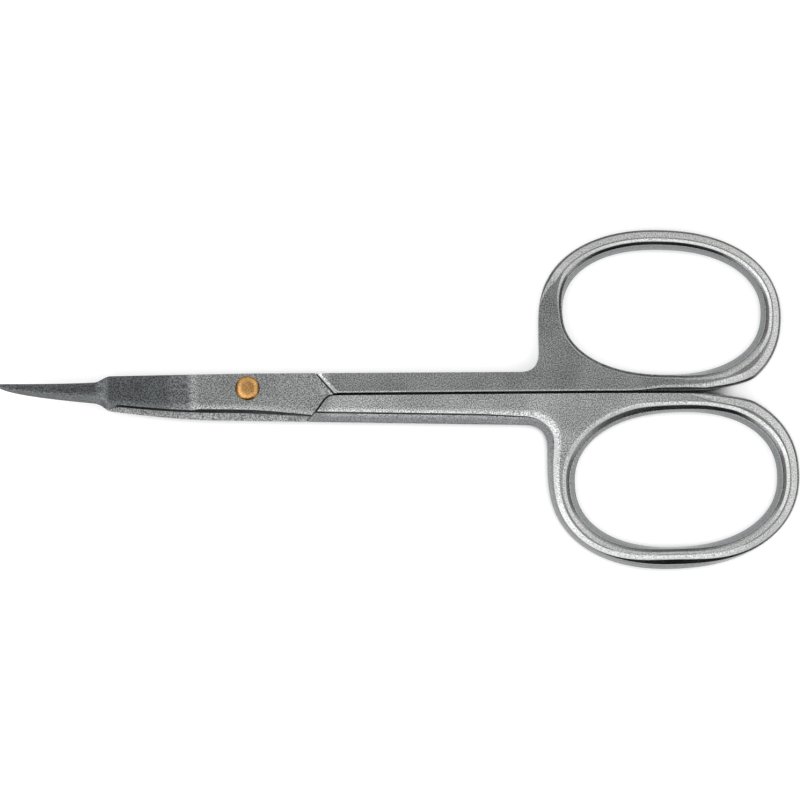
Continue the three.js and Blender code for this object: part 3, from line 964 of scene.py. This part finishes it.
def grain_group():
    """Fine satin grain of blasted and brushed metal."""
    known = bpy.data.node_groups.get("Satin grain")
    if known:
        return known
    group = bpy.data.node_groups.new("Satin grain", "ShaderNodeTree")
    add_socket(group, "Scale", "INPUT")
    add_socket(group, "Grain", "OUTPUT")
    add_socket(group, "Cloud", "OUTPUT")
    start, end = node(group, "NodeGroupInput"), node(group, "NodeGroupOutput")
    place = node(group, "ShaderNodeTexCoord")
    fine = node(group, "ShaderNodeTexNoise")
    fine.inputs["Detail"].default_value = GRAIN_DETAIL
    cloud = node(group, "ShaderNodeTexNoise")
    cloud.inputs["Scale"].default_value = CLOUD_SCALE
    cloud.inputs["Detail"].default_value = CLOUD_DETAIL
    group.links.new(place.outputs["Object"], fine.inputs["Vector"])
    group.links.new(start.outputs["Scale"], fine.inputs["Scale"])
    group.links.new(place.outputs["Object"], cloud.inputs["Vector"])
    group.links.new(fine.outputs["Fac"], end.inputs["Grain"])
    group.links.new(cloud.outputs["Fac"], end.inputs["Cloud"])
    return group


def map_range(tree, source, limits, levels, smooth=True):
    """A socket's values between two limits spread from one level to another."""
    made = node(tree, "ShaderNodeMapRange", interpolation_type="SMOOTHSTEP" if smooth else "LINEAR")
    tree.links.new(source, made.inputs["Value"])
    for key, value in zip(("From Min", "From Max", "To Min", "To Max"), (*limits, *levels)):
        made.inputs[key].default_value = value
    return made.outputs["Result"]


def computed(tree, operation, *sources, clamp=False):
    """The result of a sum, a product or another operation on one or two sockets."""
    made = node(tree, "ShaderNodeMath", operation=operation, use_clamp=clamp)
    for source, socket in zip(sources, made.inputs):
        tree.links.new(source, socket)
    return made.outputs["Value"]


def weighted_sum(tree, source, weights):
    """How far a socket's vector reaches along a direction."""
    dot = node(tree, "ShaderNodeVectorMath", operation="DOT_PRODUCT")
    tree.links.new(source, dot.inputs[0])
    dot.inputs[1].default_value = weights
    return dot.outputs["Value"]


def mixed(tree, factor, a, b):
    """A mix of two colours or two numbers, each of them a value or a socket."""
    is_number = isinstance(a, float) or getattr(a, "type", "") == "VALUE"
    made = node(tree, "ShaderNodeMix", data_type="FLOAT" if is_number else "RGBA")
    kind = "VALUE" if is_number else "RGBA"
    sockets = {socket.name: socket for socket in made.inputs if socket.type == kind and socket.enabled}
    for socket, value in ((made.inputs["Factor"], factor), (sockets["A"], a), (sockets["B"], b)):
        if isinstance(value, bpy.types.NodeSocket):
            tree.links.new(value, socket)
        else:
            socket.default_value = value
    return next(socket for socket in made.outputs if socket.type == kind and socket.enabled)


def new_material(name):
    material = bpy.data.materials.new(name)
    material.use_nodes = True
    shader = material.node_tree.nodes["Principled BSDF"]
    return material, material.node_tree, shader


def shaded(colour, factor):
    return (colour[0] * factor, colour[1] * factor, colour[2] * factor, 1.0)


def grain_relief(tree, shader, grain, depth):
    bump = node(tree, "ShaderNodeBump")
    bump.inputs["Strength"].default_value = depth
    bump.inputs["Distance"].default_value = GRAIN_RELIEF * MM
    tree.links.new(grain.outputs["Grain"], bump.inputs["Height"])
    tree.links.new(bump.outputs["Normal"], shader.inputs["Normal"])


def satin_grain(tree, finish):
    grain = node(tree, "ShaderNodeGroup", node_tree=grain_group())
    grain.inputs["Scale"].default_value = 1 / finish.grain_size
    return grain


def steel_material(name, finish, plate_light_and_shade, shank_light_and_shade):
    """Satin steel with painted light and shade: darker on the ground outside of the blade and on the steep
    sides, lighter and smoother around the finger rings, and lighter and darker copies on the plates and
    shanks.
    """
    material, tree, shader = new_material(name)
    shader.inputs["Metallic"].default_value = 1.0
    grain = satin_grain(tree, finish)
    place = node(tree, "ShaderNodeTexCoord")
    along = weighted_sum(tree, place.outputs["Object"], (-1, 0, 0))
    upward = weighted_sum(tree, place.outputs["Normal"], (0, 0, 1))
    upright = computed(tree, "ABSOLUTE", upward)

    # The blade is ground in two strokes, on its outside only. Its darker colour there is the ground finish
    # with painted shade for the darker reflection of the blade where it bends away.
    first_run, deep_run = ([(GRIND_REACH + x) * MM for x in run] for run in (GRIND_FIRST_RUN, GRIND_DEEP_RUN))
    first = map_range(tree, along, first_run, (0.0, GRIND_FIRST))
    deep = map_range(tree, along, deep_run, (0.0, 1 - GRIND_FIRST))
    outside = map_range(tree, upward, OUTSIDE_LIMITS, RISE)
    ground = computed(tree, "MULTIPLY", computed(tree, "ADD", first, deep), outside)

    # The rings lie towards +X and -Y of the necks. They and the crests are polished, with less grain, and the
    # rings take a lighter colour as painted light.
    ringward = weighted_sum(tree, place.outputs["Object"], RING_DIRECTION)
    polish = map_range(tree, ringward, (RING_START * MM, RING_FULL * MM), RISE)
    ring_calm = map_range(tree, polish, RISE, (0.0, RING_CALM), smooth=False)
    crest_start = map_range(tree, upright, CREST_LOW, (0.0, CREST_CALM))
    crest_end = map_range(tree, upright, CREST_HIGH, (CREST_CALM, 0.0))
    calm = computed(tree, "MAXIMUM", ring_calm, computed(tree, "MINIMUM", crest_start, crest_end))
    speck = mixed(tree, calm, map_range(tree, grain.outputs["Grain"], GRAIN_LIMITS, RISE), GRAIN_MIDDLE)

    spread = finish.grain_contrast
    plate, shank, ring, dark, steep = (
        mixed(tree, speck, shaded(tone, 1 - spread), shaded(tone, 1 + spread))
        for tone in (plate_light_and_shade, shank_light_and_shade, finish.polished_lit_ring_colour, finish.ground_and_shade_colour, finish.side_shade_colour)
    )
    # Painted light and shade: the joint plate and the shank take lighter and darker copies of the same steel.
    past_joint = map_range(tree, along, (-SHOULDER_REACH * MM, (JOINT_FADE - SHOULDER_REACH) * MM), FALL)
    tone = mixed(tree, past_joint, plate, shank)
    # Painted light: the polished rings take a lighter copy of the steel.
    tone = mixed(tree, polish, tone, ring)
    # Painted shade: faces that look more sideways than up take the darker side colour.
    tone = mixed(tree, map_range(tree, upright, SIDE_SHADE_LIMITS, FALL), tone, steep)
    # Painted shade: the ground outside of the blade takes the darker ground colour, its ground finish
    # darkened further.
    tree.links.new(mixed(tree, ground, tone, dark), shader.inputs["Base Color"])
    cloud = map_range(tree, grain.outputs["Cloud"], CLOUD_LIMITS, CLOUD_ROUGHNESS)
    roughness = map_range(tree, polish, RISE, (finish.roughness, finish.ring_roughness), smooth=False)
    tree.links.new(computed(tree, "ADD", cloud, roughness), shader.inputs["Roughness"])
    grain_relief(tree, shader, grain, finish.grain_depth)
    return material


def brass_material(finish):
    """Brass, a little darker in patches."""
    material, tree, shader = new_material("Brass")
    shader.inputs["Metallic"].default_value = 1.0
    shader.inputs["Roughness"].default_value = finish.brass_roughness
    grain = satin_grain(tree, finish)
    speck = map_range(tree, grain.outputs["Grain"], BRASS_LIMITS, RISE)
    dark, light = (shaded(finish.brass_colour, factor) for factor in (BRASS_DARK, BRASS_LIGHT))
    tone = mixed(tree, speck, dark, light)
    tree.links.new(tone, shader.inputs["Base Color"])
    grain_relief(tree, shader, grain, finish.grain_depth)
    return material


# Settings


def amount(name, description, default):
    return bpy.props.FloatProperty(name=name, description=description, default=default, min=0.0)


def share(name, description, default):
    return bpy.props.FloatProperty(
        name=name, description=description, default=default, min=0.0, subtype="FACTOR"
    )


def angle(name, description, degrees):
    return bpy.props.FloatProperty(
        name=name, description=description, default=math.radians(degrees), subtype="ANGLE"
    )


def colour(name, description, default):
    return bpy.props.FloatVectorProperty(
        name=name, description=description, default=default, subtype="COLOR", size=3, min=0.0, max=1.0
    )


class ScissorsEdges(bpy.types.PropertyGroup):
    """Widths, depths and slopes of the worked edges. Lengths are in millimetres."""

    crown_width: amount("Crown width", "Width of the low crown above the shank's ridge", 0.6)
    crest_tilt: angle("Crest tilt", "Slope of a crown where it meets its ridge", 17)
    shank_tilt: angle("Shank crown tilt", "Slope of the shank's crown where it meets its ridge", 9)
    plate_crown: amount("Plate crown width", "Width of the crown beside the cutting edge", 0.75)
    plate_tilt: angle("Plate crown tilt", "Slope of that crown where it meets the edge's facet", 7.5)
    plate_softness: amount("Plate softness", "Rounding of the corners beside the cutting edge", 0.06)
    edge_rounding: amount("Edge rounding", "Rounding of plain edges", 0.08)
    chamfer_width: amount("Chamfer width", "Width of the chamfer along the cutting edge", 0.42)
    chamfer_start: share("Chamfer start", "Part of the chamfer's width that the ground blade has", 0.63)
    chamfer_tilt: angle("Chamfer tilt", "Slope of the chamfer along the cutting edge", 37)
    chamfer_fade: amount("Chamfer fade", "Where the chamfer starts to run out, from the pivot", 1.0)
    chamfer_end: share("Chamfer end", "What is left of the chamfer at the end of the joint", 0.25)
    facet_tilt: angle("Facet tilt", "Slope of the facet along the tip's edge", 15)
    black_tilt: angle("Facet slope", "Slope of the facets between the crowns and the steep sides", 35)
    edge_strip: share("Edge strip", "Steep side of the shank as a share of its bevel", 0.98)
    edge_depth: amount("Edge depth", "How deep the shank's steep side goes", 1.5)
    edge_facet: amount("Edge facet", "Width of the facet along the shank", 0.22)
    neck_strip: amount("Neck strip", "Width of the steep side around the neck", 0.75)
    neck_facet: amount("Neck facet", "Width of the facet around the neck and the far end of the ring", 0.06)
    neck_crown: amount("Neck crown", "Crown around the neck", 1.1)
    ring_strip: share("Ring strip", "Steep outer side of the ring below the neck, of the band", 0.34)
    ring_strip_end: share("Ring strip end", "What is left of that side at the ring's far end", 0.02)
    near_ring_strip: share("Near ring strip", "That side opposite the seam, of the band", 0.21)
    ring_facet: amount("Ring facet", "Width of the facet on the ring opposite the seam", 0.62)
    ring_rim: amount("Ring rim", "Width of the bevel at the ring's far end", 0.34)
    rim_tilt: angle("Rim tilt", "Slope of the bevel at the ring's far end", 40)
    ring_roll: amount("Ring roll", "Shape of the ring's crown, 1 for a ridge and 2 for a flat top", 1.3)
    ridge_softness: amount("Ridge softness", "Rounding of the corners of a facet", 0.09)
    ring_crown: share("Ring crown", "Crown of the ring as a share of the band", 0.45)
    near_ring_crown: share("Near ring crown", "Crown of the ring opposite the seam, of the band", 0.22)
    hole_strip: share("Hole strip", "Steep inner side of the ring as a share of the band", 0.264)
    hole_facet: amount("Hole facet", "Width of the facet around the hole", 0.38)
    hole_crown: share("Hole crown", "Crown above the ring's inner side as a share of the band", 0.18)
    hole_bevel: amount("Hole bevel", "Width of the bevel at the hole's side opposite the seam", 0.42)
    web_strip: amount("Web strip", "Steep side of the hole's edge beside the neck and the shank", 0.36)
    web_facet: amount("Web facet", "Width of the facet along that edge", 0.6)
    web_crown: amount("Web crown", "Crown beside that edge", 0.55)
    web_bevel: amount("Web bevel", "Bevel of that edge on the inner side", 0.3)
    seam_facet: amount("Seam facet", "Facet of the ring along the seam", 0.55)
    seam_crown: amount("Seam crown", "Narrow crown along the seam of the shank", 0.2)
    rim_room: share("Rim room", "Part of the metal that the outer edge forms may take", 0.425)
    rim_room_near: share("Near rim room", "That part opposite the seam", 0.68)
    hole_room: share("Hole room", "Part of the metal that the hole's edge forms may take", 0.57)
    hole_room_near: share("Near hole room", "That part opposite the seam", 0.31)
    grind_dip: amount("Grind depth", "How deep the blade is ground below the joint plate", 0.04)
    grind_run: amount("Grind run-out", "Length over which the grinding runs out", 0.8)
    shoulder_ease: amount("Shoulder ease", "Width of the eased edge of the shoulder", 0.5)
    shoulder_fall: amount("Shoulder fall", "How far the eased edge of the shoulder falls", 0.15)
    groove_depth: amount("Groove depth", "Depth of the groove at the end of the joint plate", 0.22)
    groove_width: amount("Groove width", "Width of the groove at the end of the joint plate", 0.24)
    root_length: amount("Root length", "How far the shank reaches into the joint plate", 0.5)
    root_tuck: amount("Root tuck", "How far the root lies inside the plate", 0.06)
    blend_steps: bpy.props.IntProperty(
        name="Blend", description="Points over which edge forms blend", default=7, min=0
    )
    sharp_angle: angle("Sharp angle", "Angle above which an edge stays crisp", 38)


class ScissorsFinish(bpy.types.PropertyGroup):
    """Colours and grain of the metals."""

    # Painted light and shade: the joint, meeting, front and back colours are lighter and darker copies of one
    # steel, for how the light falls on each half. The meeting colour is lighter against the shade beside the
    # front blade.
    plate_light_and_shade: colour("Joint steel", "Colour of the front joint plate", (0.285, 0.292, 0.291))
    lit_meeting_colour: colour("Meeting faces", "Colour of the back half's plate", (0.38, 0.389, 0.389))
    lit_front_colour: colour("Front steel", "Colour of the front half's shank", (0.4, 0.408, 0.406))
    shaded_back_colour: colour("Back steel", "Colour of the back half's shank", (0.254, 0.262, 0.26))
    # Lighter copy of the steel for the polished rings: painted light.
    polished_lit_ring_colour: colour("Ring steel", "Colour of the smoother finger rings", (0.4, 0.405, 0.4))
    # Darker copy of the steel for the steep sides: painted shade for the darker light they reflect.
    side_shade_colour: colour("Side steel", "Colour of the steep sides", (0.18, 0.189, 0.192))
    # Ground finish of the blade, darkened further with painted shade for the blade's dark reflection.
    ground_and_shade_colour: colour("Ground steel", "Colour of the ground blade", (0.104, 0.11, 0.113))
    brass_colour: colour("Brass", "Colour of the rivet", (0.49, 0.27, 0.1))
    roughness: share("Steel roughness", "Roughness of the satin steel", 0.28)
    ring_roughness: share("Ring roughness", "Roughness of the smoother finger rings", 0.2)
    brass_roughness: share("Brass roughness", "Roughness of the rivet", 0.27)
    grain_size: bpy.props.FloatProperty(
        name="Grain size", description="Size of the satin grain", default=0.13 * MM, subtype="DISTANCE"
    )
    grain_depth: share("Grain depth", "Strength of the grain's relief", 0.12)
    grain_contrast: share("Grain contrast", "How much the grain changes the colour", 0.6)


class ScissorsStage(bpy.types.PropertyGroup):
    """Floor, light and camera."""

    floor_colour: colour("Floor", "Colour of the floor", (0.7, 0.7, 0.7))
    floor_glow: share("Floor glow", "Part of the floor's white that comes from its own material", 0.5)
    zenith: amount("Overhead light", "Brightness straight above", 0.25)
    surround: amount("Surrounding light", "Brightness around the overhead light", 1.1)
    key: amount("Key light", "Added brightness of the soft light above the near side", 0.8)
    left: amount("Left light", "Added brightness of the soft light on the left", 0.75)
    side: amount("Side light", "Added brightness of the soft light on the right", 0.45)
    lens: bpy.props.FloatProperty(name="Lens", description="Focal length in millimetres", default=200.0)
    view_width: bpy.props.FloatProperty(
        name="View width", description="Width of the view", default=90.0 * MM, subtype="DISTANCE"
    )


# Stage


def world_light(stage):
    """Soft studio light: dim straight above, brighter around that, and shade low down on three sides."""
    world = bpy.data.worlds.new("Studio")
    bpy.context.scene.world = world
    world.use_nodes = True
    tree = world.node_tree
    ground = tree.nodes["Background"]
    ground.inputs["Color"].default_value = (1, 1, 1, 1)
    place = node(tree, "ShaderNodeTexCoord")

    def toward(patch, outside, inside):
        reach = weighted_sum(tree, place.outputs["Generated"], Vector(patch.direction).normalized())
        return map_range(tree, reach, (patch.start, patch.full), (outside, inside))

    total = toward(OVERHEAD, stage.surround, stage.zenith)
    for patch, level in ((KEY, stage.key), (LEFT, stage.left), (RIGHT, stage.side)):
        total = computed(tree, "ADD", total, toward(patch, 0.0, level))
    total = computed(tree, "MULTIPLY", total, toward(HORIZON, HORIZON_LEVEL, 1.0))
    for patch, level in SHADE_LEVELS.items():
        total = computed(tree, "MULTIPLY", total, toward(patch, 1.0, level))
    tree.links.new(total, ground.inputs["Strength"])


def floor_piece(stage):
    """A white floor, darkened by painted shadow only close to the metal, and that reflections show as the
    camera does.
    """
    mesh = bpy.data.meshes.new("Floor")
    corners = [(-1, -1), (1, -1), (1, 1), (-1, 1)]
    mesh.from_pydata([(x * FLOOR_HALF, y * FLOOR_HALF, 0) for x, y in corners], [], [(0, 1, 2, 3)])
    floor = bpy.data.objects.new("Floor", mesh)
    bpy.context.scene.collection.objects.link(floor)
    material = bpy.data.materials.new("Pale floor")
    material.use_nodes = True
    tree = material.node_tree
    tree.nodes.remove(tree.nodes["Principled BSDF"])
    end = tree.nodes["Material Output"]
    matt = node(tree, "ShaderNodeBsdfDiffuse")
    # Painted shadow: where the metal closes in around the floor, its colour falls to black and its glow to
    # nothing.
    open_floor = node(tree, "ShaderNodeAmbientOcclusion", samples=FLOOR_SHADE_SAMPLES)
    open_floor.inputs["Distance"].default_value = FLOOR_SHADE * MM
    reached = map_range(tree, open_floor.outputs["AO"], FLOOR_SHADE_LIMITS, RISE, smooth=False)
    dark, light = (shaded(stage.floor_colour, factor) for factor in RISE)
    tree.links.new(mixed(tree, reached, dark, light), matt.inputs["Color"])
    glow = node(tree, "ShaderNodeEmission")
    path = node(tree, "ShaderNodeLightPath").outputs
    seen = computed(tree, "ADD", path["Is Camera Ray"], path["Is Glossy Ray"], clamp=True)
    seen = computed(tree, "ADD", seen, path["Is Transmission Ray"], clamp=True)
    level = map_range(tree, reached, RISE, (0.0, stage.floor_glow), smooth=False)
    tree.links.new(computed(tree, "MULTIPLY", seen, level), glow.inputs["Strength"])
    both = node(tree, "ShaderNodeAddShader")
    tree.links.new(matt.outputs["BSDF"], both.inputs[0])
    tree.links.new(glow.outputs["Emission"], both.inputs[1])
    tree.links.new(both.outputs["Shader"], end.inputs["Surface"])
    mesh.materials.append(material)


def camera_above(stage):
    """A long lens straight above the middle of the scissors, framed at the height of the meeting faces."""
    lens = bpy.data.cameras.new("Camera")
    lens.lens = stage.lens
    lens.sensor_width = SENSOR_WIDTH
    lens.clip_start, lens.clip_end = CLIP_START, CLIP_END
    camera = bpy.data.objects.new("Camera", lens)
    bpy.context.scene.collection.objects.link(camera)
    distance = stage.view_width * lens.lens / lens.sensor_width
    x, y = VIEW_MIDDLE
    camera.location = (x * MM, y * MM, PIVOT.z + distance)
    bpy.context.scene.camera = camera


# Operators


class SCISSORS_OT_front_half(bpy.types.Operator):
    """Builds the half that lies on top: blade, joint plate, shank and the near finger ring"""

    bl_idname = "scissors.front_half"
    bl_label = "Front half"

    def execute(self, context):
        scene = context.scene
        finish = scene.scissors_finish
        steel = steel_material("Satin steel front", finish, finish.plate_light_and_shade, finish.lit_front_colour)
        piece = half_piece("FrontHalf", FRONT, BACK, scene.scissors_edges, steel)
        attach(piece, "front")
        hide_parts("front_half")
        return {"FINISHED"}


class SCISSORS_OT_back_half(bpy.types.Operator):
    """Builds the half that lies below: blade, joint plate, shank and the far finger ring"""

    bl_idname = "scissors.back_half"
    bl_label = "Back half"

    def execute(self, context):
        scene = context.scene
        finish = scene.scissors_finish
        steel = steel_material("Satin steel back", finish, finish.lit_meeting_colour, finish.shaded_back_colour)
        piece = half_piece("BackHalf", BACK, FRONT, scene.scissors_edges, steel)
        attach(piece, "back")
        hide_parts("back_half")
        return {"FINISHED"}


class SCISSORS_OT_rivet(bpy.types.Operator):
    """Builds the brass rivet that both halves turn on"""

    bl_idname = "scissors.rivet"
    bl_label = "Rivet"

    def execute(self, context):
        scene = context.scene
        piece = rivet_piece("Rivet", brass_material(scene.scissors_finish), scene.scissors_edges.sharp_angle)
        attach(piece, "back")
        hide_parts("pivot_rivet")
        return {"FINISHED"}


class SCISSORS_OT_stage(bpy.types.Operator):
    """Builds the floor, the studio light and the camera"""

    bl_idname = "scissors.stage"
    bl_label = "Stage"

    def execute(self, context):
        stage = context.scene.scissors_stage
        context.scene.view_settings.view_transform = "Standard"
        world_light(stage)
        floor_piece(stage)
        camera_above(stage)
        return {"FINISHED"}


class SCISSORS_PT_panel(bpy.types.Panel):
    """Lists the pieces and their settings"""

    bl_label = "Nail scissors"
    bl_idname = "SCISSORS_PT_panel"
    bl_space_type = "VIEW_3D"
    bl_region_type = "UI"
    bl_category = "Scissors"

    def draw(self, context):
        for operator in OPERATORS:
            self.layout.operator(operator.bl_idname)
        for name, kind in SETTINGS.items():
            for key in kind.__annotations__:
                self.layout.prop(getattr(context.scene, name), key)


SETTINGS = {
    "scissors_edges": ScissorsEdges,
    "scissors_finish": ScissorsFinish,
    "scissors_stage": ScissorsStage,
}
OPERATORS = (SCISSORS_OT_front_half, SCISSORS_OT_back_half, SCISSORS_OT_rivet, SCISSORS_OT_stage)


def register():
    for cls in (*SETTINGS.values(), *OPERATORS, SCISSORS_PT_panel):
        bpy.utils.register_class(cls)
    for name, cls in SETTINGS.items():
        setattr(bpy.types.Scene, name, bpy.props.PointerProperty(type=cls))


def unregister():
    for name in SETTINGS:
        delattr(bpy.types.Scene, name)
    for cls in (SCISSORS_PT_panel, *reversed(OPERATORS), *SETTINGS.values()):
        bpy.utils.unregister_class(cls)


def main():
    register()
    bpy.ops.scissors.back_half()
    bpy.ops.scissors.front_half()
    bpy.ops.scissors.rivet()
    bpy.ops.scissors.stage()


if __name__ == "__main__":
    main()
